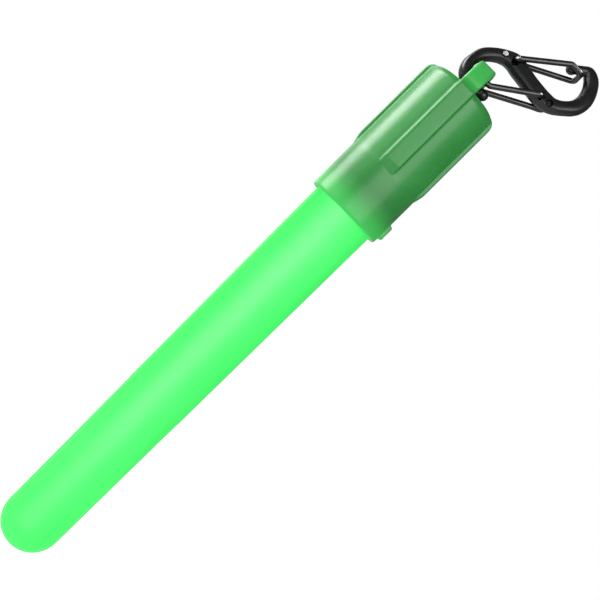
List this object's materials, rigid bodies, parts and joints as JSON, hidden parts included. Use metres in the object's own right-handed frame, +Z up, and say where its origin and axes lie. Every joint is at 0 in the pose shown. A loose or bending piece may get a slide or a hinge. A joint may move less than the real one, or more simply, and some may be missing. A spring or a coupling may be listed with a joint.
{
  "type": "light stick",
  "caption": "Short light stick with a frosted test-tube diffuser, a ribbed twist cap with a carry loop, and an S-shaped clip with wire gates.",
  "frame": {"origin": "centre of the clip's free eye, which is what the light hangs from", "axes": "+Z up along the hanging stick, -Y towards the front, +X to the right, with the stick hanging below and to the left of the eye"},
  "size_m": [0.0287, 0.0193, 0.1519],
  "materials": {
    "glow_green_plastic": "frosted, lit from inside",
    "cap_green_plastic": "satin, slightly see-through",
    "clip_black_plastic": "satin moulded",
    "dark_spring_wire": "black nickel",
    "cell_steel": "bright",
    "contact_metal": "plated",
    "carrier_plastic": "natural",
    "board_laminate": "solder mask",
    "chip_black": "moulded",
    "lamp_epoxy": "clear, lit",
    "seal_rubber": "moulded"
  },
  "bodies": {
    "clip": {"clip_body": "clip_black_plastic"},
    "gate_eye": {"clip_gate_eye": "dark_spring_wire"},
    "gate_hook": {"clip_gate_hook": "dark_spring_wire"},
    "cap": {"cap_shell": "cap_green_plastic", "battery_carrier": "carrier_plastic", "button_cell_1": "cell_steel", "button_cell_2": "cell_steel", "button_cell_3": "cell_steel", "contact_spring": "contact_metal", "end_contact": "contact_metal", "side_strip": "contact_metal"},
    "lamp_module": {"led_board": "board_laminate", "led_lamp": "lamp_epoxy", "led_lead_anode": "contact_metal", "led_lead_cathode": "contact_metal", "lamp_holder": "carrier_plastic", "driver_chip": "chip_black", "chip_resistor": "chip_black", "centre_contact": "contact_metal", "rim_contact": "contact_metal"},
    "tube": {"light_tube": "glow_green_plastic", "seal_ring": "seal_rubber"}
  },
  "joints": [
    {"name": "stick_swing", "type": "hinge", "parent": "clip", "child": "cap", "pos_m": [-0.0144, -0.00621, -0.01464], "axis": [1, 0, 0], "range_deg": [-34, 20]},
    {"name": "eye_gate", "type": "hinge", "parent": "clip", "child": "gate_eye", "pos_m": [-0.0142, -0.00215, -0.00506], "axis": [0, 0.9205, -0.3907], "range_deg": [0, 15], "stiffness_Nm_per_rad": 0.02, "springref_deg": -17.19},
    {"name": "hook_gate", "type": "hinge", "parent": "clip", "child": "gate_hook", "pos_m": [-0.0009, -0.0025, -0.00589], "axis": [0, 0.9205, -0.3907], "range_deg": [0, 2], "stiffness_Nm_per_rad": 0.02, "springref_deg": -17.19},
    {"name": "module_slide", "type": "slide", "parent": "cap", "child": "lamp_module", "axis": [0, 0, -1], "range_m": [0, 0.00201]},
    {"name": "tube_twist", "type": "hinge", "parent": "lamp_module", "child": "tube", "pos_m": [-0.0144, -0.00621, -0.04436], "axis": [0, 0, -1], "range_deg": [0, 360]}
  ],
  "couplings": [
    {"joint": "module_slide", "follows": "tube_twist", "m_per_rad": 0.00031831}
  ]
}
